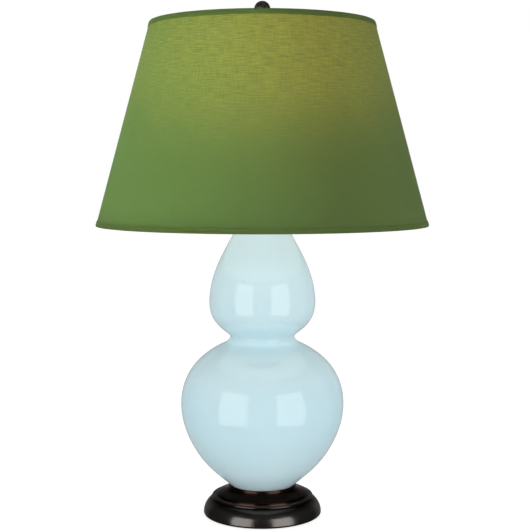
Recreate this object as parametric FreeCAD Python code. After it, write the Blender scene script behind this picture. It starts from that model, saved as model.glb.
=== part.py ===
import FreeCAD
import Part

import math
import os

os.makedirs("parts", exist_ok=True)

# A double gourd table lamp: a turned metal foot, a hollow glazed gourd on a threaded rod,
# a socket with a turn knob, a detachable harp and a tapered fabric shade under a ball finial.
# Millimetres. The origin is the centre of the felt that the lamp stands on, +Z is up,
# and the front of the lamp, where the switch knob is, faces -Y.

# Overall
LAMP_HEIGHT = 787.0
SEAT_GAP = 0.05                  # between flat faces of pieces that come apart
BORE_GAP = 0.06                  # round a shaft that turns or slides

# Foot: a cast shell with a cup for the gourd, closed below by a board and felt
FELT_RADIUS = 86.4
FELT_THICKNESS = 1.8
BOARD_RADIUS = 86.0
BOARD_THICKNESS = 2.0
BOARD_TOP_Z = FELT_THICKNESS + BOARD_THICKNESS
FOOT_RIM_Z = 1.0
FOOT_RIM_INNER_RADIUS = 86.9
FOOT_SHELL_INNER_RADIUS = 84.6
COLLAR_TOP_Z = 47.5
CUP_RADIUS = 50.6
CUP_FLOOR_Z = 39.0
WEB_BOTTOM_Z = 36.5
BEAD_CENTRE = (75.6, 28.3)
BEAD_RADIUS = 2.6
DOME_OUTLINE = [(78.9, 26.0), (82.3, 23.3), (86.7, 18.2), (89.6, 12.6), (91.0, 6.8), (91.2, 4.0)]
COVE_OUTLINE = [(52.0, 46.8), (52.8, 43.9), (54.7, 41.0), (58.4, 38.6), (63.8, 36.6), (69.4, 34.4)]
DOME_INSIDE = [
    (84.6, 8.5), (83.4, 14.2), (79.6, 20.0), (74.4, 24.0), (68.4, 29.6), (61.6, 32.8), (56.0, 34.4),
]
WEIGHT_RADIUS = 55.0
WEIGHT_BOTTOM_Z = 21.0
WEIGHT_CHAMFER = 2.0

# Cord inlet: a bushing that fills a notch in the back of the foot's rim
INLET_Z = 13.0
INLET_BORE_RADIUS = 4.0
INLET_INNER_Y = 78.0
INLET_OUTER_Y = 87.0
NOTCH_HALF_WIDTH = 6.6
NOTCH_TOP_Z = 20.5
NOTCH_CORNER = 2.5
BUSHING_LIP_HALF_WIDTH = 9.2
BUSHING_LIP_TOP_Z = 17.5

# Threaded rod that clamps foot, gourd and socket together
ROD_RADIUS = 4.95
ROD_BORE_RADIUS = 3.3
ROD_HOLE_RADIUS = 5.0
ROD_BOTTOM_Z = 13.0
ROD_TOP_Z = 507.0
ROD_WASHER_RADIUS = 20.0
ROD_WASHER_THICKNESS = 2.0
ROD_NUT_FLATS = 15.9
ROD_NUT_HEIGHT = 5.0
FOOT_GASKET_RADII = (30.0, 41.5)

# Gourd: two glazed bulbs luted together at the waist. The outline is (radius, height), from the
# rod's axis and the table
GOURD_BOTTOM_Z = 40.5
GOURD_WAIST_Z = 277.3
GOURD_TOP_Z = 466.0
GOURD_WALL = 6.5
GOURD_FLOOR = 7.0
GOURD_HOLE_RADIUS = 8.0
GOURD_OUTLINE = [
    (42.0, 40.5), (60.0, 56.0), (76.0, 70.0), (94.4, 90.0), (108.4, 112.0), (120.2, 140.0),
    (125.3, 172.0), (120.5, 205.0), (106.1, 232.0), (85.2, 252.0), (63.6, 265.0), (51.3, 273.0),
    (49.3, 277.3), (55.7, 285.0), (66.5, 294.0), (76.7, 308.0), (81.5, 331.0), (80.2, 348.0),
    (73.8, 375.0), (61.0, 405.0), (42.0, 440.0), (36.0, 451.0), (32.0, 459.0), (30.3, 464.0),
]

# Neck: gasket, cap and spacer over the gourd's mouth
GASKET_THICKNESS = 1.5
NECK_GASKET_RADII = (25.2, 28.4)
CAP_RADIUS = 33.5
CAP_SHEET = 1.5
CAP_TOP_Z = 480.0
NECK_TOP_Z = 494.0
NECK_RADIUS = 8.0

# Harp saddle, and the socket on top of it
SADDLE_WIDTH = 12.0
SADDLE_SHEET = 1.6
SADDLE_NUT_FLATS = 14.3
SADDLE_NUT_HEIGHT = 4.0
TAB_X = 44.2                     # middle of each upright tab
TAB_WIDTH = 6.0
TAB_FOOT_Z = 504.0
TAB_TOP_Z = 519.0
SOCKET_CAP_Z = 499.6
SOCKET_HUB_RADIUS = 7.6
SOCKET_RIM_Z = 518.0
SOCKET_SHELL_Z = 514.0
SOCKET_TOP_Z = 561.0
SET_SCREW_Z = SOCKET_CAP_Z + 3.2
SET_SCREW_RADIUS = 1.55
SET_SCREW_HEAD_RADIUS = 2.6
SET_SCREW_HEAD_Y = 7.8
SET_SCREW_END_Y = 9.6
SOCKET_RADIUS = 16.6
SOCKET_SHEET = 0.5
LINER_RADIUS = 15.9
LINER_SHEET = 0.7
LINER_BOTTOM_Z = 519.0
CORE_RADIUS = 14.8
CORE_BOTTOM_Z = 512.0
CORE_TOP_Z = 538.0
KNOB_Z = 531.0
KNOB_SHAFT_RADIUS = 2.0
KNOB_HOLE_RADIUS = 4.5
KNOB_INNER_Y = -11.0
KNOB_FACE_Y = -36.0
KNOB_LENGTH = 18.0
KNOB_SHAFT_REACH = 8.0           # how far the shaft goes into the knob
KNOB_COLLAR_RADIUS = 4.6
PADDLE_HALF_WIDTH = 6.2
PADDLE_HALF_THICKNESS = 1.7
PADDLE_CORNER = 5.0
TERMINAL_Z = 521.0
TERMINAL_SEAT_X = 11.0
TERMINAL_SHANK_RADIUS = 1.65
TERMINAL_HEAD_RADIUS = 3.2
TERMINAL_HEAD_HEIGHT = 2.4

# Bulb with a medium screw cap
THREAD_PITCH = 3.6
BULB_TIP_Z = 541.0
BULB_CAP_BOTTOM_Z = 545.0
BULB_CAP_TOP_Z = 567.0
BULB_THREAD_RADIUS = 13.05
BULB_RADIUS = 33.5
BULB_CENTRE_Z = 642.0
BULB_GLASS = 1.0
BULB_NECK_RADIUS = 12.1
BULB_NECK_Z = 568.0
BULB_FLARE = 25.0                # radius of the bend between neck and ball
BULB_SLOPE_ANGLE = 40.0          # of the bulb's side below the ball, from upright
BULB_GLASS_FOOT = (11.4, 556.0)
BULB_CAP_MOUTH_RADIUS = 8.0
LEAD_RADIUS = 0.4
FILAMENT_RADIUS = 0.5
FILAMENT_X = 15.0
FILAMENT_Z = 641.5

# Harp: one bent wire, a stud at its top and two sliding ferrules at its feet
HARP_WIRE_RADIUS = 1.9
HARP_FOOT_X = 47.0
HARP_FOOT_Z = TAB_FOOT_Z + SEAT_GAP
HARP_WAIST_X = 60.0
HARP_TOP_Z = 737.0
HARP_TOP_X = 30.0
FERRULE_BOTTOM_Z = 506.0
FERRULE_HEIGHT = 12.0
FERRULE_WALL = 0.8
FERRULE_INSIDE = ((43.1, -3.3), (49.2, 3.3))
STUD_FLANGE_Z = 741.0
STUD_FLANGE_THICKNESS = 1.6
STUD_FLANGE_RADIUS = 9.5
STUD_HUB_RADIUS = 6.5
STUD_PIN_RADIUS = 3.1
STUD_TOP_Z = 760.5

# Shade: fabric on a stiff white backing, bound at both edges over wire rings
SHADE_TOP_Z = 754.5
SHADE_BOTTOM_Z = 448.5
SHADE_TOP_RADIUS = 170.0
SHADE_BOTTOM_RADIUS = 253.0
SHADE_SLOPE = (SHADE_BOTTOM_RADIUS - SHADE_TOP_RADIUS) / (SHADE_TOP_Z - SHADE_BOTTOM_Z)
BINDING_SHEET = 0.6
BINDING_DEPTH = 8.0
BINDING_TURN_IN = 6.5
FABRIC_SHEET = 0.7
BACKING_SHEET = 0.6
RING_WIRE_RADIUS = 1.6
ARM_COUNT = 3
FIRST_ARM_ANGLE = 90.0
HUB_RADIUS = 13.0
HUB_HOLE_RADIUS = 5.5
WASHER_RADIUS = 9.0
WASHER_BOTTOM_Z = STUD_FLANGE_Z + SEAT_GAP
WASHER_TOP_Z = 742.0
HUB_BOTTOM_Z = WASHER_TOP_Z + SEAT_GAP
HUB_TOP_Z = 744.0

# Finial
FINIAL_BOTTOM_Z = HUB_TOP_Z + SEAT_GAP
FINIAL_FLANGE_RADIUS = 8.5
FINIAL_BALL_RADIUS = 12.3
FINIAL_BALL_Z = LAMP_HEIGHT - FINIAL_BALL_RADIUS
FINIAL_BORE_TOP_Z = 763.0

ORIGIN = FreeCAD.Vector(0, 0, 0)
X_AXIS = FreeCAD.Vector(1, 0, 0)
Y_AXIS = FreeCAD.Vector(0, 1, 0)
UP = FreeCAD.Vector(0, 0, 1)


# ---------------------------------------------------------------- building blocks

def place(r, z):
    """A point of an outline: radius and height in the XZ plane."""
    return FreeCAD.Vector(r, 0, z)


def run(*points):
    """Straight edges through (radius, height) points."""
    spots = [place(*point) for point in points]
    return [Part.LineSegment(a, b).toShape() for a, b in zip(spots, spots[1:])]


def bend(start, middle, end):
    """One circular arc through three (radius, height) points."""
    return [Part.Arc(place(*start), place(*middle), place(*end)).toShape()]


def spline(points):
    """The smooth curve through (radius, height) points."""
    line = Part.BSplineCurve()
    line.interpolate([place(*point) for point in points])
    return line


def curve(points):
    """One smooth edge through (radius, height) points."""
    return [spline(points).toShape()]


def turned(*groups):
    """The solid that a closed outline sweeps round the lamp's axis."""
    edges = [edge for group in groups for edge in group]
    outline = Part.Wire(Part.sortEdges(edges)[0])
    return Part.Face(outline).revolve(ORIGIN, UP, 360)


def turned_polygon(*points):
    """A turned solid with a straight-sided outline."""
    return turned(run(*points, points[0]))


def tube(outer, inner, low, high):
    """An upright tube between two heights."""
    return turned_polygon((inner, low), (outer, low), (outer, high), (inner, high))


def disc(radius, low, high):
    """An upright solid cylinder between two heights."""
    return Part.makeCylinder(radius, high - low, FreeCAD.Vector(0, 0, low), UP)


def bar_along_y(radius, start, end, z):
    """A cylinder along the Y axis at height z."""
    return Part.makeCylinder(radius, end - start, FreeCAD.Vector(0, start, z), Y_AXIS)


def block(low, high):
    """A box between two opposite corners."""
    size = [b - a for a, b in zip(low, high)]
    return Part.makeBox(*size, FreeCAD.Vector(*low))


def hex_nut(across_flats, hole, low, high):
    """A hexagonal nut with a plain hole."""
    corner = across_flats / 2 / math.cos(math.pi / 6)
    angles = [math.radians(60 * step) for step in range(7)]
    corners = [FreeCAD.Vector(corner * math.cos(a), corner * math.sin(a), low) for a in angles]
    prism = Part.Face(Part.makePolygon(corners)).extrude(FreeCAD.Vector(0, 0, high - low))
    return prism.cut(disc(hole, low - 1, high + 1))


def rounded_path(points, radii):
    """Straight runs through 3D points, joined by tangent arcs of the given radii."""
    spots = [FreeCAD.Vector(*point) for point in points]
    edges = []
    start = spots[0]
    for before, corner, after, radius in zip(spots, spots[1:], spots[2:], radii):
        inward = (before - corner).normalize()
        outward = (after - corner).normalize()
        half = inward.getAngle(outward) / 2
        setback = radius / math.tan(half)
        enter = corner + inward * setback
        leave = corner + outward * setback
        middle_way = (inward + outward).normalize()
        middle = corner + middle_way * (radius / math.sin(half) - radius)
        edges.append(Part.LineSegment(start, enter).toShape())
        edges.append(Part.Arc(enter, middle, leave).toShape())
        start = leave
    edges.append(Part.LineSegment(start, spots[-1]).toShape())
    return Part.Wire(edges)


def wire_rod(path, radius):
    """A round rod along a path of lines and tangent arcs."""
    first = path.Edges[0]
    direction = first.tangentAt(first.FirstParameter)
    section = Part.Wire(Part.makeCircle(radius, path.Vertexes[0].Point, direction))
    return path.makePipeShell([section], True, False)


def group(solids):
    """Separate solids kept together as one node."""
    return Part.makeCompound(solids)


# ---------------------------------------------------------------- foot

def rod_hole(low, high):
    """The hole that lets the rod through a piece."""
    return disc(ROD_HOLE_RADIUS, low - 1, high + 1)


def foot_outside():
    """The foot as if solid: collar, cove, step, bead and dome, turned."""
    bead_r, bead_z = BEAD_CENTRE
    bead_start = (bead_r - 3.2, bead_z + 1.6)
    bead_end = (bead_r + 2.1, bead_z - 2.0)
    slant = BEAD_RADIUS / math.sqrt(2)
    bead_side = (bead_r + slant, bead_z + slant)
    cove_end = COVE_OUTLINE[-1]
    step_foot = (bead_start[0] - 0.8, bead_start[1] + 0.4)
    dome_end = DOME_OUTLINE[-1]
    rim_edge = (dome_end[0] - 2.4, FOOT_RIM_Z)
    lip_edge = (COVE_OUTLINE[0][0] - 0.7, COLLAR_TOP_Z)
    return turned(
        run((0, FOOT_RIM_Z), rim_edge),
        bend(rim_edge, (dome_end[0] - 0.6, FOOT_RIM_Z + 1.1), dome_end),
        curve(DOME_OUTLINE[::-1]),
        run(DOME_OUTLINE[0], bead_end),
        bend(bead_end, bead_side, (bead_r - 1.6, bead_z + 2.05)),
        run((bead_r - 1.6, bead_z + 2.05), bead_start, step_foot, (cove_end[0] + 0.9, cove_end[1] - 0.9)),
        run((cove_end[0] + 0.9, cove_end[1] - 0.9), cove_end),
        curve(COVE_OUTLINE[::-1]),
        bend(COVE_OUTLINE[0], (lip_edge[0] + 0.5, COLLAR_TOP_Z - 0.2), lip_edge),
        run(lip_edge, (0, COLLAR_TOP_Z), (0, FOOT_RIM_Z)),
    )


def foot_hollow():
    """The room inside the foot, below its web."""
    return turned(
        run((0, FOOT_RIM_Z - 1), (FOOT_RIM_INNER_RADIUS, FOOT_RIM_Z - 1)),
        run((FOOT_RIM_INNER_RADIUS, FOOT_RIM_Z - 1), (FOOT_RIM_INNER_RADIUS, BOARD_TOP_Z)),
        run((FOOT_RIM_INNER_RADIUS, BOARD_TOP_Z), (FOOT_SHELL_INNER_RADIUS, BOARD_TOP_Z), DOME_INSIDE[0]),
        curve(DOME_INSIDE),
        run(DOME_INSIDE[-1], (DOME_INSIDE[-1][0], WEB_BOTTOM_Z), (0, WEB_BOTTOM_Z), (0, FOOT_RIM_Z - 1)),
    )


def inlet_notch():
    """The doorway-shaped notch through the back of the foot's wall, open at the rim."""
    past_wall = FOOT_RIM_INNER_RADIUS + 10
    notch = block((-NOTCH_HALF_WIDTH, INLET_INNER_Y, FOOT_RIM_Z - 1),
                  (NOTCH_HALF_WIDTH, past_wall, NOTCH_TOP_Z))
    along = [edge for edge in notch.Edges if abs(edge.tangentAt(0).y) > 0.9]
    top_edges = [edge for edge in along if edge.Vertexes[0].Z > NOTCH_TOP_Z - 1]
    return notch.makeFillet(NOTCH_CORNER, top_edges)


def base_foot():
    """The cast foot with its cup, rod hole and cord notch."""
    shell = foot_outside().cut(foot_hollow())
    cup = disc(CUP_RADIUS, CUP_FLOOR_Z, COLLAR_TOP_Z + 1)
    return shell.cut(cup).cut(rod_hole(WEB_BOTTOM_Z, CUP_FLOOR_Z)).cut(inlet_notch())


def base_weight():
    """The cast iron disc that keeps the lamp from tipping."""
    return turned_polygon(
        (ROD_HOLE_RADIUS, WEIGHT_BOTTOM_Z),
        (WEIGHT_RADIUS - WEIGHT_CHAMFER, WEIGHT_BOTTOM_Z),
        (WEIGHT_RADIUS, WEIGHT_BOTTOM_Z + WEIGHT_CHAMFER),
        (WEIGHT_RADIUS, WEB_BOTTOM_Z),
        (ROD_HOLE_RADIUS, WEB_BOTTOM_Z),
    )


def base_cover():
    """The fibreboard disc that closes the foot."""
    return disc(BOARD_RADIUS, FELT_THICKNESS, BOARD_TOP_Z)


def felt_pad():
    """The felt that the lamp stands on, with a softened lower edge."""
    edge = 0.5
    return turned_polygon(
        (0, 0), (FELT_RADIUS - edge, 0), (FELT_RADIUS, edge),
        (FELT_RADIUS, FELT_THICKNESS), (0, FELT_THICKNESS))


def cord_bushing():
    """The bushing in the notch: a plug, a lip behind the wall and a bore for a supply cord."""
    low = BOARD_TOP_Z + SEAT_GAP
    room = block((-NOTCH_HALF_WIDTH, INLET_INNER_Y, low), (NOTCH_HALF_WIDTH, INLET_OUTER_Y, NOTCH_TOP_Z))
    plug = inlet_notch().common(room).common(foot_outside())
    reach = block((-BUSHING_LIP_HALF_WIDTH, INLET_INNER_Y, low),
                  (BUSHING_LIP_HALF_WIDTH, INLET_OUTER_Y, BUSHING_LIP_TOP_Z))
    lip = reach.common(foot_hollow())
    bore = bar_along_y(INLET_BORE_RADIUS, INLET_INNER_Y - 1, INLET_OUTER_Y + 1, INLET_Z)
    return plug.fuse(lip).removeSplitter().cut(bore).Solids[0]


def rod_washer():
    """The steel washer under the weight."""
    return tube(ROD_WASHER_RADIUS, ROD_HOLE_RADIUS, WEIGHT_BOTTOM_Z - ROD_WASHER_THICKNESS, WEIGHT_BOTTOM_Z)


def rod_nut():
    """The nut that draws the whole lamp together."""
    high = WEIGHT_BOTTOM_Z - ROD_WASHER_THICKNESS
    return hex_nut(ROD_NUT_FLATS, ROD_HOLE_RADIUS, high - ROD_NUT_HEIGHT, high)


def threaded_rod():
    """The hollow rod that runs from the foot to the socket."""
    return tube(ROD_RADIUS, ROD_BORE_RADIUS, ROD_BOTTOM_Z, ROD_TOP_Z)


def foot_gasket():
    """The cushion between the foot's cup and the gourd."""
    inner, outer = FOOT_GASKET_RADII
    return tube(outer, inner, CUP_FLOOR_Z, GOURD_BOTTOM_Z)


# ---------------------------------------------------------------- gourd and neck

def inset(points, thickness):
    """Points moved inwards from a smooth outline by a wall's thickness."""
    line = spline(points)
    moved = []
    for point in points:
        spot = place(*point)
        along = line.tangent(line.parameter(spot))[0]
        moved.append((spot.x - thickness * along.z, spot.z + thickness * along.x))
    return moved


def whole_gourd():
    """The hollow gourd, open at its mouth and holed at its floor."""
    floor_z = GOURD_BOTTOM_Z + GOURD_FLOOR
    inside = inset(GOURD_OUTLINE, GOURD_WALL)[1:-1]
    floor_edge = (44.0, floor_z)
    mouth = (inside[-1][0] - 1.2, GOURD_TOP_Z - 1.2)
    top_inner = (mouth[0] + 1.2, GOURD_TOP_Z)
    shoulder = GOURD_OUTLINE[-1]
    top_outer = (shoulder[0] - 2.0, GOURD_TOP_Z)
    return turned(
        run((GOURD_HOLE_RADIUS, GOURD_BOTTOM_Z), GOURD_OUTLINE[0]),
        curve(GOURD_OUTLINE),
        bend(shoulder, (shoulder[0] - 0.6, GOURD_TOP_Z - 0.6), top_outer),
        run(top_outer, top_inner),
        bend(top_inner, (mouth[0] + 0.35, GOURD_TOP_Z - 0.35), mouth),
        curve([floor_edge] + inside + [mouth]),
        run(floor_edge, (GOURD_HOLE_RADIUS, floor_z), (GOURD_HOLE_RADIUS, GOURD_BOTTOM_Z)),
    )


def gourd_between(low, high):
    """The part of the gourd between two heights."""
    widest = max(r for r, z in GOURD_OUTLINE) + 10
    return whole_gourd().common(disc(widest, low, high)).Solids[0]


def gourd_lower():
    """The gourd's lower bulb, up to the waist."""
    return gourd_between(GOURD_BOTTOM_Z - 1, GOURD_WAIST_Z)


def gourd_upper():
    """The gourd's upper bulb, from the waist to the mouth."""
    return gourd_between(GOURD_WAIST_Z, GOURD_TOP_Z + 1)


def neck_gasket():
    """The ring between the gourd's mouth and its cap."""
    inner, outer = NECK_GASKET_RADII
    return tube(outer, inner, GOURD_TOP_Z, GOURD_TOP_Z + GASKET_THICKNESS)


def vase_cap():
    """The spun cap that covers the gourd's mouth."""
    seat_z = GOURD_TOP_Z + GASKET_THICKNESS
    skirt_z = seat_z - 5.5
    skirt_inner = CAP_RADIUS - CAP_SHEET
    roof = [(CAP_RADIUS, seat_z + 1.0), (31.0, seat_z + 4.0), (20.0, seat_z + 7.5), (10.0, CAP_TOP_Z)]
    return turned(
        curve(roof),
        run(roof[-1], (ROD_HOLE_RADIUS, CAP_TOP_Z), (ROD_HOLE_RADIUS, CAP_TOP_Z - 5)),
        run((ROD_HOLE_RADIUS, CAP_TOP_Z - 5), (15.0, seat_z + 4.0), (22.0, seat_z), (skirt_inner, seat_z)),
        run((skirt_inner, seat_z), (skirt_inner, skirt_z), (CAP_RADIUS, skirt_z), roof[0]),
    )


def neck_spacer():
    """The short tube between the cap and the harp saddle."""
    return tube(NECK_RADIUS, ROD_HOLE_RADIUS, CAP_TOP_Z, NECK_TOP_Z)


# ---------------------------------------------------------------- harp saddle and socket

def harp_saddle():
    """The bent strip that holds the harp's feet: a base, two arms and two upright tabs."""
    low = NECK_TOP_Z
    tab_inner = TAB_X - SADDLE_SHEET / 2
    tab_outer = TAB_X + SADDLE_SHEET / 2
    shoulder_out = HARP_FOOT_X + 3
    shoulder_low = TAB_FOOT_Z - SADDLE_SHEET
    half = [
        (0, low), (20, low), (38, shoulder_low), (shoulder_out, shoulder_low), (shoulder_out, TAB_FOOT_Z),
        (tab_outer, TAB_FOOT_Z), (tab_outer, TAB_TOP_Z), (tab_inner, TAB_TOP_Z), (tab_inner, TAB_FOOT_Z),
        (37.4, TAB_FOOT_Z), (19.4, low + SADDLE_SHEET), (0, low + SADDLE_SHEET),
    ]
    corners = [FreeCAD.Vector(x, -SADDLE_WIDTH / 2, z) for x, z in half + half[:1]]
    right = Part.Face(Part.makePolygon(corners)).extrude(Y_AXIS * SADDLE_WIDTH)
    left = right.mirror(ORIGIN, X_AXIS)
    strip = right.fuse(left).removeSplitter()
    for middle in (-TAB_X, TAB_X):
        for waste_y in (-SADDLE_WIDTH, TAB_WIDTH / 2):
            waste_end = waste_y + SADDLE_WIDTH - TAB_WIDTH / 2
            waste = block((middle - 2, waste_y, TAB_FOOT_Z), (middle + 2, waste_end, TAB_TOP_Z + 1))
            strip = strip.cut(waste)
    return strip.cut(rod_hole(low, low + SADDLE_SHEET))


def saddle_nut():
    """The thin nut that locks the saddle."""
    low = NECK_TOP_Z + SADDLE_SHEET
    return hex_nut(SADDLE_NUT_FLATS, ROD_HOLE_RADIUS, low, low + SADDLE_NUT_HEIGHT)


def socket_cap():
    """The cup at the bottom of the socket, with a screwed hub and a side hole for its set screw."""
    rim_outer = SOCKET_RADIUS + SEAT_GAP + SOCKET_SHEET
    rim_inner = SOCKET_RADIUS + SEAT_GAP
    hub = SOCKET_HUB_RADIUS
    low = SOCKET_CAP_Z
    bowl_out = [(hub, low + 6.5), (12.0, low + 7.6), (16.2, low + 10.2), (rim_outer, low + 13.4)]
    bowl_in = [(hub, low + 7.4), (11.6, low + 8.3), (15.6, low + 10.8), (rim_inner, low + 13.8)]
    cup = turned(
        run((ROD_HOLE_RADIUS, low), (hub, low), bowl_out[0]),
        curve(bowl_out),
        run(bowl_out[-1], (rim_outer, SOCKET_RIM_Z), (rim_inner, SOCKET_RIM_Z), bowl_in[-1]),
        curve(bowl_in),
        run(bowl_in[0], (ROD_HOLE_RADIUS, bowl_in[0][1]), (ROD_HOLE_RADIUS, low)),
    )
    return cup.cut(bar_along_y(SET_SCREW_RADIUS + SEAT_GAP, ROD_HOLE_RADIUS - 1, hub + 1, SET_SCREW_Z))


def socket_set_screw():
    """The small screw that keeps the socket from turning on the rod."""
    half_slot = 0.35
    slot_y = SET_SCREW_END_Y - 0.6
    shank = bar_along_y(SET_SCREW_RADIUS, ROD_HOLE_RADIUS, SET_SCREW_HEAD_Y, SET_SCREW_Z)
    head = bar_along_y(SET_SCREW_HEAD_RADIUS, SET_SCREW_HEAD_Y, SET_SCREW_END_Y, SET_SCREW_Z)
    slot = block((-3, slot_y, SET_SCREW_Z - half_slot), (3, SET_SCREW_END_Y + 1, SET_SCREW_Z + half_slot))
    return shank.fuse(head).removeSplitter().cut(slot)


def socket_shell():
    """The outer sleeve of the socket, with a rolled mouth and a hole for the knob."""
    inner = SOCKET_RADIUS - SOCKET_SHEET
    lip_low = SOCKET_TOP_Z - 1.2
    sleeve = turned_polygon(
        (inner, SOCKET_SHELL_Z), (SOCKET_RADIUS, SOCKET_SHELL_Z), (SOCKET_RADIUS, lip_low),
        (SOCKET_RADIUS + 0.5, lip_low + 0.5), (SOCKET_RADIUS + 0.3, SOCKET_TOP_Z), (inner, SOCKET_TOP_Z))
    return sleeve.cut(knob_opening())


def knob_opening():
    """The round opening in the sleeves for the knob's shaft."""
    return bar_along_y(KNOB_HOLE_RADIUS, -SOCKET_RADIUS - 2, 0, KNOB_Z)


def socket_liner():
    """The insulating paper sleeve inside the shell."""
    sleeve = tube(LINER_RADIUS, LINER_RADIUS - LINER_SHEET, LINER_BOTTOM_Z, SOCKET_TOP_Z - 1)
    return sleeve.cut(knob_opening())


def socket_core():
    """The moulded block that holds the switch, the terminals and the contacts."""
    core = turned_polygon(
        (0, CORE_BOTTOM_Z), (CORE_RADIUS - 3, CORE_BOTTOM_Z), (CORE_RADIUS, CORE_BOTTOM_Z + 3),
        (CORE_RADIUS, CORE_TOP_Z), (0, CORE_TOP_Z))
    core = core.cut(bar_along_y(KNOB_SHAFT_RADIUS + BORE_GAP, -CORE_RADIUS - 1, KNOB_INNER_Y + 1, KNOB_Z))
    for side in (-1, 1):
        direction = X_AXIS * side
        pocket_start = FreeCAD.Vector(side * TERMINAL_SEAT_X, 0, TERMINAL_Z)
        pilot_start = FreeCAD.Vector(side * (TERMINAL_SEAT_X - 5.5), 0, TERMINAL_Z)
        pocket = Part.makeCylinder(TERMINAL_HEAD_RADIUS + 0.7, 5, pocket_start, direction)
        pilot = Part.makeCylinder(TERMINAL_SHANK_RADIUS + SEAT_GAP, 6, pilot_start, direction)
        core = core.cut(pocket).cut(pilot)
    return core


def terminal_screws():
    """The two screws that the supply leads are clamped under."""
    screws = []
    shank_length = 5.0
    for side in (-1, 1):
        direction = X_AXIS * side
        shank_start = FreeCAD.Vector(side * (TERMINAL_SEAT_X - shank_length), 0, TERMINAL_Z)
        head_start = FreeCAD.Vector(side * TERMINAL_SEAT_X, 0, TERMINAL_Z)
        shank = Part.makeCylinder(TERMINAL_SHANK_RADIUS, shank_length, shank_start, direction)
        head = Part.makeCylinder(TERMINAL_HEAD_RADIUS, TERMINAL_HEAD_HEIGHT, head_start, direction)
        slot_x = side * (TERMINAL_SEAT_X + 2.2)
        slot = block((slot_x - 0.9, -0.4, TERMINAL_Z - 4), (slot_x + 0.9, 0.4, TERMINAL_Z + 4))
        screws.append(shank.fuse(head).removeSplitter().cut(slot))
    return group(screws)


def ridges(valley, crest, low, count):
    """A rolled thread drawn as even rounded rings, going up."""
    edges = []
    for turn in range(count):
        z = low + turn * THREAD_PITCH
        edges += bend((valley, z), (crest, z + THREAD_PITCH / 2), (valley, z + THREAD_PITCH))
    return edges


def screw_shell():
    """The threaded sleeve that takes the bulb's cap."""
    turns = 6
    top = CORE_TOP_Z + turns * THREAD_PITCH
    minor = BULB_THREAD_RADIUS + 0.2
    return turned(
        run((minor, CORE_TOP_Z), (minor + 0.3, CORE_TOP_Z)),
        ridges(minor + 0.3, minor + 0.75, CORE_TOP_Z, turns),
        run((minor + 0.3, top), (minor, top)),
        ridges(minor, minor + 0.4, CORE_TOP_Z, turns),
    )


def centre_contact():
    """The sprung tongue under the bulb's tip."""
    half = 2.5
    top = BULB_TIP_Z - SEAT_GAP
    outline = [
        (-8, CORE_TOP_Z), (2, CORE_TOP_Z), (5, top - 1.2), (-2.2, top), (-2.6, top - 0.4),
        (3.6, top - 1.6), (1.6, CORE_TOP_Z + 0.4), (-8, CORE_TOP_Z + 0.4),
    ]
    corners = [FreeCAD.Vector(x, -half, z) for x, z in outline + outline[:1]]
    return Part.Face(Part.makePolygon(corners)).extrude(Y_AXIS * 2 * half)


def knob_shaft():
    """The switch's turning shaft."""
    return bar_along_y(KNOB_SHAFT_RADIUS, KNOB_FACE_Y - KNOB_SHAFT_REACH, KNOB_INNER_Y, KNOB_Z)


def switch_knob():
    """The turn knob: a round collar and a flat finger paddle."""
    tip = KNOB_FACE_Y - KNOB_LENGTH
    collar = bar_along_y(KNOB_COLLAR_RADIUS, KNOB_FACE_Y - 6, KNOB_FACE_Y, KNOB_Z)
    paddle = block((-PADDLE_HALF_WIDTH, tip, KNOB_Z - PADDLE_HALF_THICKNESS),
                   (PADDLE_HALF_WIDTH, KNOB_FACE_Y - 4, KNOB_Z + PADDLE_HALF_THICKNESS))
    upright = [edge for edge in paddle.Edges if abs(edge.tangentAt(0).z) > 0.9]
    paddle = paddle.makeFillet(PADDLE_CORNER, [edge for edge in upright if edge.Vertexes[0].Y < tip + 1])
    shaft_hole = bar_along_y(KNOB_SHAFT_RADIUS, KNOB_FACE_Y - KNOB_SHAFT_REACH, KNOB_FACE_Y + 1, KNOB_Z)
    return collar.fuse(paddle).removeSplitter().cut(shaft_hole)


# ---------------------------------------------------------------- bulb

def bulb_cap():
    """The threaded metal cap of the bulb."""
    turns = 4
    valley = BULB_THREAD_RADIUS - 0.8
    low = BULB_CAP_BOTTOM_Z + 2.4
    high = low + turns * THREAD_PITCH
    sheet = 0.6
    inner = valley - sheet
    skirt = BULB_THREAD_RADIUS - 0.3
    mouth = BULB_CAP_MOUTH_RADIUS
    mouth_top = BULB_CAP_BOTTOM_Z + sheet
    return turned(
        run((mouth, BULB_CAP_BOTTOM_Z), (mouth + 1.6, BULB_CAP_BOTTOM_Z), (valley, low)),
        ridges(valley, BULB_THREAD_RADIUS, low, turns),
        run((valley, high), (skirt, high + 2.2), (skirt, BULB_CAP_TOP_Z)),
        run((skirt, BULB_CAP_TOP_Z), (inner, BULB_CAP_TOP_Z), (inner, low + 0.4)),
        run((inner, low + 0.4), (mouth + 1.2, mouth_top), (mouth, mouth_top), (mouth, BULB_CAP_BOTTOM_Z)),
    )


def bulb_insulator():
    """The dark glass button round the bulb's tip."""
    return turned_polygon(
        (3.2, BULB_TIP_Z + 1.0), (5.4, BULB_TIP_Z + 1.0), (9.4, BULB_CAP_BOTTOM_Z - 0.1),
        (9.4, BULB_CAP_BOTTOM_Z), (3.2, BULB_CAP_BOTTOM_Z))


def bulb_tip_contact():
    """The bulb's centre contact, a button with a chamfered face."""
    return turned_polygon(
        (0, BULB_TIP_Z), (2.2, BULB_TIP_Z), (3.2, BULB_TIP_Z + 1.0),
        (3.2, BULB_CAP_BOTTOM_Z), (0, BULB_CAP_BOTTOM_Z))


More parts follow.
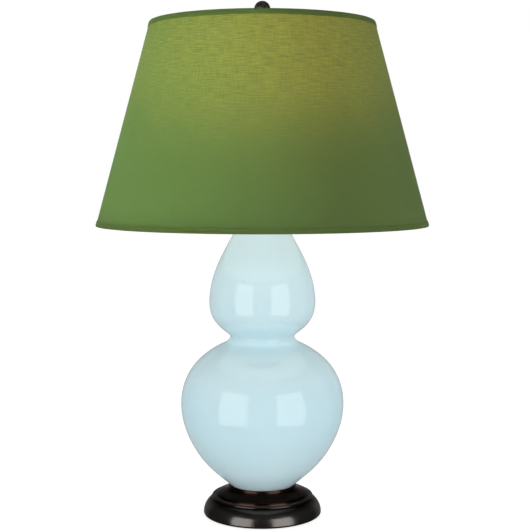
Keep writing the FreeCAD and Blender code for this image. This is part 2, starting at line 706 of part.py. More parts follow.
def bulb_profile(depth):
    """One face of the bulb's glass: a straight neck that flares into a ball."""
    ball = BULB_RADIUS - depth
    neck = BULB_NECK_RADIUS - depth
    flare = BULB_FLARE + depth
    angle = math.radians(BULB_SLOPE_ANGLE)
    side = (ball * math.cos(angle), BULB_CENTRE_Z - ball * math.sin(angle))
    corner_z = side[1] - (side[0] - neck) / math.tan(angle)
    setback = flare * math.tan(angle / 2)
    flare_low = (neck, corner_z - setback)
    flare_high = (neck + setback * math.sin(angle), corner_z + setback * math.cos(angle))
    half = angle / 2
    flare_middle = (neck + flare * (1 - math.cos(half)), flare_low[1] + flare * math.sin(half))
    foot = (BULB_GLASS_FOOT[0] - depth, BULB_GLASS_FOOT[1])
    top = (0, BULB_CENTRE_Z + ball)
    edges = run(foot, (foot[0], BULB_CAP_TOP_Z), (neck, BULB_NECK_Z), flare_low)
    edges += bend(flare_low, flare_middle, flare_high)
    edges += run(flare_high, side)
    edges += bend(side, (ball, BULB_CENTRE_Z), top)
    return edges, foot, top


def bulb_glass():
    """The bulb's frosted glass envelope."""
    outside, outer_foot, outer_top = bulb_profile(0)
    inside, inner_foot, inner_top = bulb_profile(BULB_GLASS)
    return turned(outside, run(outer_top, inner_top), inside, run(inner_foot, outer_foot))


def bulb_stem():
    """The pressed glass stem that carries the leads."""
    foot_z = BULB_GLASS_FOOT[1]
    stem_top = foot_z + 56.0
    return turned_polygon(
        (0, foot_z), (10.0, foot_z), (9.0, foot_z + 3.0), (4.2, foot_z + 10.0), (3.2, foot_z + 40.0),
        (1.6, stem_top), (0, stem_top))


def bulb_lead_wires():
    """Two leads that rise from the stem to the filament."""
    leads = []
    for side in (-1, 1):
        points = [(side * 2.6, 0, 600.0), (side * 6.5, 0, 618.0), (side * FILAMENT_X, 0, 636.0)]
        leads.append(wire_rod(rounded_path(points, [30.0]), LEAD_RADIUS).cut(bulb_stem()))
    return group(leads)


def bulb_filament():
    """The filament, drawn as a thick arched wire between the leads."""
    foot_z = FILAMENT_Z - 4.6
    arch = [(-FILAMENT_X, 0, foot_z), (-9.0, 0, FILAMENT_Z), (9.0, 0, FILAMENT_Z), (FILAMENT_X, 0, foot_z)]
    return wire_rod(rounded_path(arch, [4.0, 4.0]), FILAMENT_RADIUS)


# ---------------------------------------------------------------- harp

def harp_bow():
    """The harp's wire: two feet, two upright sides and a flat top."""
    points = [
        (-HARP_FOOT_X, 0, HARP_FOOT_Z), (-HARP_FOOT_X, 0, 550), (-HARP_WAIST_X, 0, 598),
        (-HARP_WAIST_X, 0, 680), (-HARP_TOP_X, 0, HARP_TOP_Z), (HARP_TOP_X, 0, HARP_TOP_Z),
        (HARP_WAIST_X, 0, 680), (HARP_WAIST_X, 0, 598), (HARP_FOOT_X, 0, 550),
        (HARP_FOOT_X, 0, HARP_FOOT_Z),
    ]
    path = rounded_path(points, [60, 60, 60, 30, 30, 60, 60, 60])
    return wire_rod(path, HARP_WIRE_RADIUS)


def harp_stud():
    """The stud on the harp's top: a hub round the wire, a seat for the shade and a threaded pin."""
    hub_low = HARP_TOP_Z - 4
    flange_low = STUD_FLANGE_Z - STUD_FLANGE_THICKNESS
    stud = turned_polygon(
        (0, hub_low), (STUD_HUB_RADIUS - 0.7, hub_low), (STUD_HUB_RADIUS, hub_low + 0.7),
        (STUD_HUB_RADIUS, flange_low), (STUD_FLANGE_RADIUS, flange_low), (STUD_FLANGE_RADIUS, STUD_FLANGE_Z),
        (STUD_PIN_RADIUS, STUD_FLANGE_Z), (STUD_PIN_RADIUS, STUD_TOP_Z - 0.8),
        (STUD_PIN_RADIUS - 0.8, STUD_TOP_Z), (0, STUD_TOP_Z))
    cross_bore = Part.makeCylinder(HARP_WIRE_RADIUS + 0.02, 24, FreeCAD.Vector(-12, 0, HARP_TOP_Z), X_AXIS)
    return stud.cut(cross_bore)


def ferrule(side):
    """One sliding ferrule round a foot of the harp and its tab."""
    near, far = FERRULE_INSIDE
    top = FERRULE_BOTTOM_Z + FERRULE_HEIGHT
    outside = block((near[0] - FERRULE_WALL, near[1] - FERRULE_WALL, FERRULE_BOTTOM_Z),
                    (far[0] + FERRULE_WALL, far[1] + FERRULE_WALL, top))
    upright = [edge for edge in outside.Edges if abs(edge.tangentAt(0).z) > 0.9]
    outside = outside.makeFillet(1.4, upright)
    inside = block((*near, FERRULE_BOTTOM_Z - 1), (*far, top + 1))
    upright = [edge for edge in inside.Edges if abs(edge.tangentAt(0).z) > 0.9]
    inside = inside.makeFillet(0.25, upright)
    sleeve = outside.cut(inside)
    if side < 0:
        sleeve = sleeve.mirror(ORIGIN, X_AXIS)
    return sleeve


# ---------------------------------------------------------------- shade

def cone(z, depth=0.0):
    """Radius of the shade at a height, a little way in from its outermost face."""
    return SHADE_BOTTOM_RADIUS - SHADE_SLOPE * (z - SHADE_BOTTOM_Z) - depth


def conical_sheet(depth, thickness, low, high):
    """A tapered sheet parallel to the shade's face."""
    return turned_polygon(
        (cone(low, depth), low), (cone(high, depth), high),
        (cone(high, depth + thickness), high), (cone(low, depth + thickness), low))


FABRIC_DEPTH = BINDING_SHEET
BACKING_DEPTH = FABRIC_DEPTH + FABRIC_SHEET
RING_DEPTH = BACKING_DEPTH + BACKING_SHEET
TURN_IN_DEPTH = RING_DEPTH + 2 * RING_WIRE_RADIUS + 0.3
SHEET_LOW_Z = SHADE_BOTTOM_Z + BINDING_SHEET
SHEET_HIGH_Z = SHADE_TOP_Z - BINDING_SHEET
TOP_RING_Z = SHEET_HIGH_Z - RING_WIRE_RADIUS - 0.1
BOTTOM_RING_Z = SHEET_LOW_Z + RING_WIRE_RADIUS + 0.1


def ring_radius(z):
    """Radius of a wire ring that lies against the inside of the shade."""
    return cone(z, RING_DEPTH) - RING_WIRE_RADIUS - 0.15


def shade_cover():
    """The fabric of the shade."""
    return conical_sheet(FABRIC_DEPTH, FABRIC_SHEET, SHEET_LOW_Z, SHEET_HIGH_Z)


def shade_liner():
    """The stiff backing that the fabric is laminated to."""
    return conical_sheet(BACKING_DEPTH, BACKING_SHEET, SHEET_LOW_Z, SHEET_HIGH_Z)


def binding(edge_z, inward):
    """A folded fabric binding at one edge; inward is 1 at the bottom and -1 at the top."""
    fold = edge_z + inward * BINDING_SHEET
    outer_end = edge_z + inward * BINDING_DEPTH
    inner_end = edge_z + inward * BINDING_TURN_IN
    inner_face = TURN_IN_DEPTH + BINDING_SHEET
    return turned_polygon(
        (cone(edge_z, 0.25), edge_z), (cone(fold), fold), (cone(outer_end), outer_end),
        (cone(outer_end, BINDING_SHEET), outer_end), (cone(fold, BINDING_SHEET), fold),
        (cone(fold, TURN_IN_DEPTH), fold), (cone(inner_end, TURN_IN_DEPTH), inner_end),
        (cone(inner_end, inner_face), inner_end), (cone(fold, inner_face), fold),
        (cone(edge_z, inner_face - 0.25), edge_z))


def shade_top_binding():
    """The top binding, notched where the arms reach the ring."""
    sheet = binding(SHADE_TOP_Z, -1)
    slack = 0.3
    for solid in spider_arm_rods(RING_WIRE_RADIUS + slack):
        sheet = sheet.cut(solid)
    return sheet


def wire_ring(z):
    """A wire hoop that stretches the shade's edge."""
    return Part.makeTorus(ring_radius(z), RING_WIRE_RADIUS, FreeCAD.Vector(0, 0, z), UP)


def shade_washer():
    """The washer between the harp's stud and the shade."""
    return tube(WASHER_RADIUS, STUD_PIN_RADIUS + BORE_GAP, WASHER_BOTTOM_Z, WASHER_TOP_Z)


def spider_hub():
    """The flat ring in the middle of the shade that sits on the stud."""
    return tube(HUB_RADIUS, HUB_HOLE_RADIUS, HUB_BOTTOM_Z, HUB_TOP_Z)


def spider_arm_rods(radius):
    """Rods of a given radius along the arms, rising from the hub to the top ring."""
    hub_middle = (HUB_BOTTOM_Z + HUB_TOP_Z) / 2
    reach = ring_radius(TOP_RING_Z)
    path = rounded_path(
        [(HUB_RADIUS - 1, 0, hub_middle), (HUB_RADIUS + 14, 0, hub_middle), (reach, 0, TOP_RING_Z)], [120])
    rod = wire_rod(path, radius)
    angles = [FIRST_ARM_ANGLE + index * 360 / ARM_COUNT for index in range(ARM_COUNT)]
    return [rod.rotated(ORIGIN, UP, angle) for angle in angles]


def spider_arms():
    """The arms, ending against the hub and against the top ring."""
    hub_core = disc(HUB_RADIUS, HUB_BOTTOM_Z - 3, HUB_TOP_Z + 3)
    ring = wire_ring(TOP_RING_Z)
    arms = []
    for rod in spider_arm_rods(RING_WIRE_RADIUS):
        pieces = rod.cut(hub_core).cut(ring).Solids
        arms.append(max(pieces, key=lambda solid: solid.Volume))
    return group(arms)


# ---------------------------------------------------------------- finial

def finial():
    """The turned ball finial that screws down on the shade."""
    low = FINIAL_BOTTOM_Z
    ball_start_z = FINIAL_BALL_Z - FINIAL_BALL_RADIUS * math.sin(math.radians(60))
    ball_start_r = FINIAL_BALL_RADIUS * math.cos(math.radians(60))
    neck = (4.9, low + 9.0)
    bead_out = (6.6, low + 15.2)
    waist = (4.7, ball_start_z - 1.0)
    ball_start = (ball_start_r, ball_start_z)
    foot_edge = (FINIAL_FLANGE_RADIUS, low + 1.8)
    bore = STUD_PIN_RADIUS + BORE_GAP
    return turned(
        run((bore, low), (FINIAL_FLANGE_RADIUS - 0.5, low), (FINIAL_FLANGE_RADIUS, low + 0.5), foot_edge),
        curve([foot_edge, (6.9, low + 3.6), (5.3, low + 6.2), neck]),
        run(neck, (4.9, low + 13.2)),
        bend((4.9, low + 13.2), bead_out, waist),
        run(waist, ball_start),
        bend(ball_start, (FINIAL_BALL_RADIUS, FINIAL_BALL_Z), (0, LAMP_HEIGHT)),
        run((0, LAMP_HEIGHT), (0, FINIAL_BORE_TOP_Z), (bore, FINIAL_BORE_TOP_Z - 1.5), (bore, low)),
    )


PIECES = {
    "felt_pad": felt_pad,
    "base_cover": base_cover,
    "base_foot": base_foot,
    "base_weight": base_weight,
    "cord_bushing": cord_bushing,
    "rod_washer": rod_washer,
    "rod_nut": rod_nut,
    "threaded_rod": threaded_rod,
    "foot_gasket": foot_gasket,
    "gourd_lower": gourd_lower,
    "gourd_upper": gourd_upper,
    "neck_gasket": neck_gasket,
    "vase_cap": vase_cap,
    "neck_spacer": neck_spacer,
    "harp_saddle": harp_saddle,
    "saddle_nut": saddle_nut,
    "socket_cap": socket_cap,
    "socket_set_screw": socket_set_screw,
    "socket_shell": socket_shell,
    "socket_liner": socket_liner,
    "socket_core": socket_core,
    "terminal_screws": terminal_screws,
    "screw_shell": screw_shell,
    "centre_contact": centre_contact,
    "knob_shaft": knob_shaft,
    "switch_knob": switch_knob,
    "bulb_cap": bulb_cap,
    "bulb_insulator": bulb_insulator,
    "bulb_tip_contact": bulb_tip_contact,
    "bulb_glass": bulb_glass,
    "bulb_stem": bulb_stem,
    "bulb_lead_wires": bulb_lead_wires,
    "bulb_filament": bulb_filament,
    "harp_bow": harp_bow,
    "harp_stud": harp_stud,
    "ferrule_left": lambda: ferrule(-1),
    "ferrule_right": lambda: ferrule(1),
    "shade_washer": shade_washer,
    "spider_hub": spider_hub,
    "spider_arms": spider_arms,
    "shade_top_ring": lambda: wire_ring(TOP_RING_Z),
    "shade_bottom_ring": lambda: wire_ring(BOTTOM_RING_Z),
    "shade_cover": shade_cover,
    "shade_liner": shade_liner,
    "shade_top_binding": shade_top_binding,
    "shade_bottom_binding": lambda: binding(SHADE_BOTTOM_Z, 1),
    "finial": finial,
}

for name, make in PIECES.items():
    shape = make()
    for solid in shape.Solids:
        if not solid.isValid() or solid.Volume <= 0:
            raise RuntimeError(name + " has a faulty solid")
    print(name, len(shape.Solids), "solid(s),", round(shape.Volume / 1000, 2), "cm3")
    shape.exportStep("parts/" + name + ".step")
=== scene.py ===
"""The looks of the double gourd table lamp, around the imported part. Metres, +Z up, front towards -Y."""
import math

import bmesh
import bpy
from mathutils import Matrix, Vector


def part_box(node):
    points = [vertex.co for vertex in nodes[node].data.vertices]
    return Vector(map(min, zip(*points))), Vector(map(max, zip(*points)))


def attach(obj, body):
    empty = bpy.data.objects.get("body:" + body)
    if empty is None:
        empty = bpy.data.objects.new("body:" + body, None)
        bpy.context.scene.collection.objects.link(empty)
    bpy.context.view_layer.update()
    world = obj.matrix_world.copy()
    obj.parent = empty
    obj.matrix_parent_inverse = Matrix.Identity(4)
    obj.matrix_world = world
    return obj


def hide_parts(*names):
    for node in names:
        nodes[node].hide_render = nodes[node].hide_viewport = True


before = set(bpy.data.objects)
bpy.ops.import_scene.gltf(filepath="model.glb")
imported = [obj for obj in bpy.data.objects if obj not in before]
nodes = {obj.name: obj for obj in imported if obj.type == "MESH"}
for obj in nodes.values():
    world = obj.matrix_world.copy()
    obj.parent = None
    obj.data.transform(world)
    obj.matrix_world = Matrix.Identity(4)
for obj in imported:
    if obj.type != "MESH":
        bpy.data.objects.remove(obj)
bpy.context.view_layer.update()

# ---------------------------------------------------------------- measures

MM = 0.001
TURN = 2 * math.pi

# Camera: where the photograph was taken from, fitted to the shade's rims and the gourd's outline
PHOTO_SIZE = 530.0
PHOTO_FOCAL_PIXELS = 1200.0
SENSOR_WIDTH = 36.0
CAMERA_PLACE = (0.0041, -1.835, 0.538)
CAMERA_TILT_DOWN = 4.69

# Shade: its slant from its two rims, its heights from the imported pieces
cover_low, cover_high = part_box("shade_cover")
SHADE_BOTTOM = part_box("shade_bottom_binding")[0].z
SHADE_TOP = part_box("shade_top_binding")[1].z
BOTTOM_RADIUS = 253.0 * MM
TOP_RADIUS = 170.0 * MM
SLOPE = (BOTTOM_RADIUS - TOP_RADIUS) / (SHADE_TOP - SHADE_BOTTOM)
FABRIC_SHEET = 0.7 * MM
BACKING_SHEET = 0.6 * MM
SHADE_SEGMENTS = 360
COVER_ROWS = 48

# Seam: the fabric's glued lap down the back, with its width and the width of its edges at SEAM_HEIGHT
SEAM_WIDTH = 12.0 * MM
SEAM_EDGE = 0.6 * MM
SEAM_RISE = 0.35 * MM
SEAM_HEIGHT = 0.6

# Bindings: a strip folded round each edge of the shade, how far it reaches over either face, the room for
# the wire ring in its fold, and the lap of its ends, with the angles just inside and outside it
BINDING_SHEET = 0.6 * MM
BINDING_OUTER = 8.0 * MM
BINDING_INNER = 6.5 * MM
BINDING_PUFF = 0.45 * MM
RING_ROOM = 3.6 * MM
LAP_RISE = 0.35 * MM
LAP_ANGLE = 0.07
LAP_EDGES = (0.0005, 0.0695, 0.0705)

# Weave: noise laid round and up the shade at its middle radius. Each has how fine it is round and up, its
# place in the noise, and its detail; the shares say how much each shows
WEAVE_RADIUS = 0.21
UPRIGHT_THREADS = (520.0, 55.0, 0.0, 2.0)
CROSS_THREADS = (44.0, 760.0, 7.0, 2.0)
PATCHES = (14.0, 14.0, 3.0, 3.0)
UPRIGHT_SHARE, CROSS_SHARE, PATCH_SHARE = 0.28, 0.66, 0.06
THREAD_PITCH = 1.3 * MM

# Glow of the lit bulb through the fabric: full above its edge, which rises to the sides, and faint below
GLOW_EDGE = 0.619
GLOW_FADE = 0.026
GLOW_SIDE_RISE = 0.016
GLOW_PATCH_RISE = 0.010
GLOW_FULL = (0.193, 0.148, 0.012)
GLOW_FAINT = (0.035, 0.036, 0.0)
GLOW_FAINTEST = (0.018, 0.019, 0.0)
GLOW_FAINT_HEIGHTS = (0.455, 0.560)
GLOW_LEVEL = 0.965
GLOW_THREADS = 0.33
GLOW_MEAN, GLOW_FRONT = 0.70, 0.27

# Backing and bulb: the heights where they glow
BACKING_GLOW_MIDDLE = 0.655
BACKING_GLOW_REACH = 0.095
BACKING_GLOW_LEVEL = 0.30
BULB_GLOW_HEIGHTS = (0.570, 0.630)
BULB_GLOW_LEVELS = (0.02, 0.14)

# Gourd: a dense, bright glaze in screen colours, with painted light and painted shade in bands by height
GLAZE_IOR = 1.64
GLAZE_CLOUD = ((200, 228, 236), (206, 231, 238))
GLAZE_PAINTED_LIGHT_COLOUR = (221, 247, 254)
GLAZE_PAINTED_SHADE_COLOUR = (176, 212, 224)
# Painted light: a painted highlight round the waist, and painted light just above the foot and up the upper
# gourd
GLAZE_PAINTED_LIGHT = ((0.056, 1.0), (0.093, 0.0), (0.2620, 0.0), (0.2708, 0.85), (0.2795, 0.0), (0.305, 0.0),
              (0.342, 0.17), (0.371, 0.42), (0.400, 0.57), (0.4215, 0.85), (0.440, 0.95))
# Painted shade: round the lower belly, and a little at the waist
GLAZE_PAINTED_SHADE = ((0.100, 0.0), (0.122, 0.14), (0.155, 0.24), (0.195, 0.20), (0.225, 0.0), (0.2715, 0.0),
              (0.2795, 0.08), (0.2895, 0.0))

# Foot: how light the bronze is at each height from its rim to its collar, lighter on the dome's wall and
# bead, painted shade in the crease under the bead, darker in the cove, and where it turns warm
FOOT_TONE_AND_SHADE = ((0.000, 2.6), (0.0185, 2.6), (0.0235, 0.9), (0.0260, 0.3), (0.0275, 1.1), (0.0305, 1.1),
               (0.0325, 0.18), (0.0420, 0.18), (0.0450, 0.70))
FOOT_WARM = ((0.0275, 0.0), (0.0310, 1.0))
WARM_TINT = (1.25, 0.80, 0.62)

# Soft boxes: name, degrees to the right of straight in front, distance, middle height, width, height,
# radiance, and whether glossy pieces mirror it
SOFT_BOXES = (
    ("box_left", -39.5, 1.2, 0.25, 0.87, 1.12, 1.45, True),
    ("fill_left", -112.0, 1.3, 0.42, 0.80, 0.62, 1.15, False),
    ("box_right", 39.5, 1.2, 0.25, 0.87, 1.12, 1.45, True),
    ("fill_right", 112.0, 1.3, 0.58, 0.80, 0.62, 1.50, False),
)

# Narrow lights, which shine straight ahead at the shade's height: name, degrees to the right, power
NARROW_LIGHTS = (("key", -65.0, 0.98), ("rim", 100.0, 0.17))
NARROW_DISTANCE = 1.3
NARROW_MIDDLE = 0.604
NARROW_WIDTH, NARROW_HEIGHT = 0.62, 0.296
NARROW_SPREAD = 3
NARROW_COLOUR = (0.92, 1.0, 1.0)

# World: how far back a direction points, from -1 to 1, where the dim room turns into the pale backdrop
BACKDROP_FROM, BACKDROP_TO = 0.5, 0.9
FLOOR_HALF_SIZE = 9.0


# ---------------------------------------------------------------- shader helpers

def put(tree, socket, value):
    """Sets an input of a node, or links another node's output to it."""
    if isinstance(value, bpy.types.NodeSocket):
        tree.links.new(value, socket)
    else:
        socket.default_value = value


def add_node(tree, kind, inputs=None, **settings):
    """Adds a node, with settings and with inputs that are values or other nodes' outputs."""
    node = tree.nodes.new(kind)
    for key, value in settings.items():
        setattr(node, key, value)
    for key, value in (inputs or {}).items():
        put(tree, node.inputs[key], value)
    return node


class Finish:
    """One procedural material: a Principled shader and short ways to add nodes to it."""

    def __init__(self, name, roughness=0.5, metallic=0.0, colour=None):
        self.material = bpy.data.materials.new(name)
        self.material.use_nodes = True
        self.tree = self.material.node_tree
        self.surface = self.tree.nodes["Principled BSDF"]
        self.set("Roughness", roughness)
        self.set("Metallic", metallic)
        if colour is not None:
            self.set("Base Color", (*colour, 1.0))
        self.place = self.add("ShaderNodeTexCoord").outputs["Object"]

    def set(self, socket, value):
        """Sets a socket of the shader, or links a node's output to it."""
        put(self.tree, self.surface.inputs[socket], value)

    def add(self, kind, inputs=None, **settings):
        """Adds a node to the material."""
        return add_node(self.tree, kind, inputs, **settings)

    def maths(self, operation, first, second=0.0):
        """The result of one arithmetic step."""
        return self.add("ShaderNodeMath", {0: first, 1: second}, operation=operation).outputs[0]

    def plus(self, first, second):
        """The sum of two values."""
        return self.maths("ADD", first, second)

    def times(self, first, second):
        """The product of two values."""
        return self.maths("MULTIPLY", first, second)

    def stretched(self, scale):
        """Object coordinates, scaled along each axis."""
        mapping = self.add("ShaderNodeMapping", {"Vector": self.place, "Scale": scale})
        return mapping.outputs["Vector"]

    def noise(self, vector, scale=1.0, detail=3.0, rough=0.5):
        """A noise pattern from 0 to 1."""
        inputs = {"Vector": vector, "Scale": scale, "Detail": detail, "Roughness": rough}
        return self.add("ShaderNodeTexNoise", inputs).outputs["Fac"]

    def spread(self, factor, low, high, to_low=0.0, to_high=1.0):
        """A factor remapped from one range to another, and held inside it."""
        inputs = {"Value": factor, "From Min": low, "From Max": high, "To Min": to_low, "To Max": to_high}
        return self.add("ShaderNodeMapRange", inputs).outputs["Result"]

    def blend(self, factor, first, second):
        """A colour between two colours."""
        mix = self.add("ShaderNodeMix", data_type="RGBA")
        put(self.tree, mix.inputs[0], factor)
        for key, colour in ((6, first), (7, second)):
            linked = isinstance(colour, bpy.types.NodeSocket)
            put(self.tree, mix.inputs[key], colour if linked else (*colour, 1.0))
        return mix.outputs[2]

    def bump(self, height, strength, distance):
        """Links a height pattern to the shader's normal."""
        inputs = {"Height": height, "Strength": strength, "Distance": distance}
        self.set("Normal", self.add("ShaderNodeBump", inputs).outputs["Normal"])

    def split(self):
        """The X, Y and Z of a place on the lamp."""
        parts = self.add("ShaderNodeSeparateXYZ", {"Vector": self.place})
        return parts.outputs["X"], parts.outputs["Y"], parts.outputs["Z"]

    def height(self):
        """Metres up the lamp."""
        return self.split()[2]

    def by_height(self, steps):
        """A level that goes from step to step of (height, level) up the lamp."""
        up = self.height()
        level = steps[0][1]
        for (low, before), (high, after) in zip(steps, steps[1:]):
            if after != before:
                level = self.plus(level, self.spread(up, low, high, 0.0, after - before))
        return level

    def join(self, x, y, z=0.0):
        """A vector from three values."""
        return self.add("ShaderNodeCombineXYZ", {"X": x, "Y": y, "Z": z}).outputs["Vector"]

    def round_and_up(self, radius):
        """Metres round the lamp's axis at a radius, from the front, and metres up."""
        x, y, z = self.split()
        angle = self.maths("ARCTAN2", x, self.times(y, -1.0))
        return self.times(angle, radius), z


def linear(red, green, blue):
    """A colour written as screen values from 0 to 255, as the shader needs it."""
    def channel(value):
        share = value / 255.0
        if share <= 0.04045:
            return share / 12.92
        return ((share + 0.055) / 1.055) ** 2.4
    return (channel(red), channel(green), channel(blue))


# ---------------------------------------------------------------- materials

def glaze():
    """Glossy pale blue glaze: faint cloudiness, with painted light and painted shade in bands by height."""
    made = Finish("pale_blue_glaze", roughness=0.06)
    cloud = made.spread(made.noise(made.place, scale=9.0, detail=4.0, rough=0.6), 0.3, 0.7)
    colour = made.blend(cloud, linear(*GLAZE_CLOUD[0]), linear(*GLAZE_CLOUD[1]))
    # Painted light and painted shade laid over the glaze's own colour, by height
    colour = made.blend(made.by_height(GLAZE_PAINTED_LIGHT), colour, linear(*GLAZE_PAINTED_LIGHT_COLOUR))
    colour = made.blend(made.by_height(GLAZE_PAINTED_SHADE), colour, linear(*GLAZE_PAINTED_SHADE_COLOUR))
    made.set("Base Color", colour)
    speck = made.noise(made.place, scale=55.0, detail=5.0, rough=0.55)
    made.set("Roughness", made.spread(speck, 0.3, 0.7, 0.02, 0.045))
    made.set("IOR", GLAZE_IOR)
    made.bump(made.noise(made.place, scale=38.0, detail=2.0), strength=0.04, distance=0.0010)
    return made.material


def bronze(name, dark, light, roughness=0.3, fleck=14.0, rubbed=(), warm=()):
    """Dark oil-rubbed bronze: near black, with a warm bloom and faint turning lines.

    fleck is how fine the bloom is; rubbed gives how much lighter or darker it is at each height, painted
    shade included, and warm how far it goes to a warmer tint."""
    made = Finish(name, roughness=roughness, metallic=1.0)
    made.set("Specular Tint", (0.55, 0.55, 0.55, 1.0))
    bloom = made.noise(made.place, scale=fleck)
    colour = made.blend(made.spread(bloom, 0.25, 0.80), dark, light)
    # Lighter or darker by height; on the foot this puts painted shade in the crease under the bead
    if rubbed:
        inputs = {0: colour, "Scale": made.by_height(rubbed)}
        colour = made.add("ShaderNodeVectorMath", inputs, operation="SCALE").outputs["Vector"]
    if warm:
        tinted = made.add("ShaderNodeVectorMath", {0: colour, 1: WARM_TINT}, operation="MULTIPLY")
        colour = made.blend(made.by_height(warm), colour, tinted.outputs["Vector"])
    made.set("Base Color", colour)
    wear = made.noise(made.place, scale=30.0)
    made.set("Roughness", made.spread(wear, 0.3, 0.7, roughness - 0.02, roughness + 0.03))
    made.bump(made.noise(made.stretched((0.5, 0.5, 900.0))), strength=0.05, distance=0.0004)
    return made.material


def woven(name, shadow, light, lit):
    """Plain woven slubby fabric; where it is lit, the bulb's light comes through it."""
    made = Finish(name, roughness=0.85)
    made.set("Sheen Weight", 0.08)
    made.set("Sheen Roughness", 0.45)
    made.set("Sheen Tint", (0.40, 0.70, 0.16, 1.0))
    around, up = made.round_and_up(WEAVE_RADIUS)

    def pattern(fine_round, fine_up, place, detail):
        vector = made.join(made.times(around, fine_round), made.times(up, fine_up), place)
        return made.noise(vector, detail=detail)

    patch = pattern(*PATCHES)
    slub = made.plus(made.times(pattern(*UPRIGHT_THREADS), UPRIGHT_SHARE),
                     made.times(pattern(*CROSS_THREADS), CROSS_SHARE))
    slub = made.plus(slub, made.times(patch, PATCH_SHARE))
    made.set("Base Color", made.blend(made.spread(slub, 0.36, 0.64), shadow, light))
    over = made.maths("SINE", made.times(around, TURN / THREAD_PITCH))
    under = made.maths("SINE", made.times(up, TURN / THREAD_PITCH))
    relief = made.plus(made.times(made.times(over, under), 0.35), made.times(slub, 1.6))
    made.bump(relief, strength=0.24, distance=0.0006)
    if lit:
        shine_through(made, around, up, patch, slub)
    return made.material


def shine_through(made, around, up, patch, slub):
    """The bulb's glow in the fabric: by height, weaker to the left and right, and uneven with the threads."""
    sides = made.maths("COSINE", made.times(around, 2.0 / WEAVE_RADIUS))
    edge = made.plus(GLOW_EDGE, made.times(sides, -GLOW_SIDE_RISE))
    edge = made.plus(edge, made.spread(patch, 0.3, 0.7, -GLOW_PATCH_RISE, GLOW_PATCH_RISE))
    below = made.maths("DIVIDE", made.maths("SUBTRACT", up, edge), -GLOW_FADE)
    full = made.maths("DIVIDE", 1.0, made.plus(1.0, made.maths("EXPONENT", below)))
    low = made.times(made.spread(up, *GLOW_FAINT_HEIGHTS, 1.0, 0.0), made.maths("MAXIMUM", sides, 0.0))
    faint = made.blend(low, GLOW_FAINT, GLOW_FAINTEST)
    made.set("Emission Color", made.blend(full, faint, GLOW_FULL))
    threads = made.times(made.spread(slub, 0.38, 0.62, -GLOW_THREADS, GLOW_THREADS), full)
    front = made.plus(made.times(sides, GLOW_FRONT), GLOW_MEAN)
    made.set("Emission Strength", made.times(made.plus(threads, GLOW_LEVEL), front))


def backing():
    """White styrene backing, lit from inside by the bulb."""
    made = Finish("shade_backing", roughness=0.6)
    cloud = made.noise(made.place, scale=14.0)
    made.set("Base Color", made.blend(cloud, linear(224, 221, 209), linear(233, 231, 221)))
    off = made.maths("DIVIDE", made.maths("SUBTRACT", made.height(), BACKING_GLOW_MIDDLE), BACKING_GLOW_REACH)
    hump = made.maths("EXPONENT", made.times(made.times(off, off), -0.5))
    made.set("Emission Color", (1.0, 0.98, 0.92, 1.0))
    made.set("Emission Strength", made.times(hump, BACKING_GLOW_LEVEL))
    made.bump(made.noise(made.place, scale=300.0), strength=0.1, distance=0.0003)
    return made.material


def plain_metal(name, first, second, roughness, along=(60.0, 60.0, 60.0), metallic=1.0):
    """Bare metal with faint drawn or machined lines and a slightly uneven tone."""
    made = Finish(name, roughness=roughness, metallic=metallic)
    tone = made.noise(made.place, scale=45.0, detail=4.0)
    made.set("Base Color", made.blend(made.spread(tone, 0.35, 0.65), first, second))
    lines = made.noise(made.stretched(along))
    made.set("Roughness", made.spread(lines, 0.3, 0.7, roughness - 0.06, roughness + 0.08))
    made.bump(lines, strength=0.12, distance=0.0002)
    return made.material


def moulded(name, first, second, roughness, fine=700.0, strength=0.15):
    """A moulded or pressed non-metal with a fine surface grain."""
    made = Finish(name, roughness=roughness)
    tone = made.noise(made.place, scale=60.0, detail=5.0, rough=0.65)
    made.set("Base Color", made.blend(made.spread(tone, 0.3, 0.7), first, second))
    grain = made.noise(made.place, scale=fine)
    made.set("Roughness", made.spread(grain, 0.3, 0.7, roughness - 0.05, roughness + 0.05))
    made.bump(grain, strength, distance=0.0004)
    return made.material


def frosted_bulb():
    """The lit bulb's frosted envelope: brightest round its middle."""
    made = Finish("bulb_frost", roughness=0.35)
    frost = made.noise(made.place, scale=500.0, detail=2.0)
    made.set("Base Color", made.blend(frost, linear(204, 196, 178), linear(212, 205, 189)))
    made.set("Emission Color", (1.0, 0.80, 0.48, 1.0))
    made.set("Emission Strength", made.spread(made.height(), *BULB_GLOW_HEIGHTS, *BULB_GLOW_LEVELS))
    made.bump(frost, strength=0.1, distance=0.0002)
    return made.material


def clear_glass():
    """Clear glass for the bulb's stem."""
    made = Finish("bulb_clear", roughness=0.04, colour=(0.95, 0.97, 0.96))
    made.set("Transmission Weight", 1.0)
    made.set("IOR", 1.5)
    made.bump(made.noise(made.place, scale=80.0), strength=0.1, distance=0.0003)
    return made.material


def paint(material, *names):
    """Gives a material to CAD pieces."""
    for name in names:
        slots = nodes[name].data.materials
        slots.clear()
        slots.append(material)


def finish_bronze_pieces():
    """The foot, the neck, the harp, the spider and the finial."""
    # The foot's table of heights holds painted shade in the crease under the bead
    paint(bronze("foot_bronze", (0.064, 0.058, 0.055), (0.080, 0.073, 0.069), roughness=0.20,
                 rubbed=FOOT_TONE_AND_SHADE, warm=FOOT_WARM), "base_foot")
    paint(bronze("finial_bronze", (0.045, 0.040, 0.036), (0.50, 0.45, 0.40), roughness=0.42, fleck=210.0),
          "finial")
    paint(bronze("cap_bronze", (0.010, 0.008, 0.007), (0.026, 0.020, 0.017)), "vase_cap", "neck_spacer")
    paint(bronze("spider_bronze", (0.030, 0.025, 0.020), (0.060, 0.050, 0.040), roughness=0.4),
          "spider_hub", "spider_arms")
    paint(bronze("harp_bronze", (0.050, 0.038, 0.026), (0.095, 0.072, 0.050), roughness=0.36),
          "harp_bow", "harp_stud", "harp_saddle", "ferrule_left", "ferrule_right")


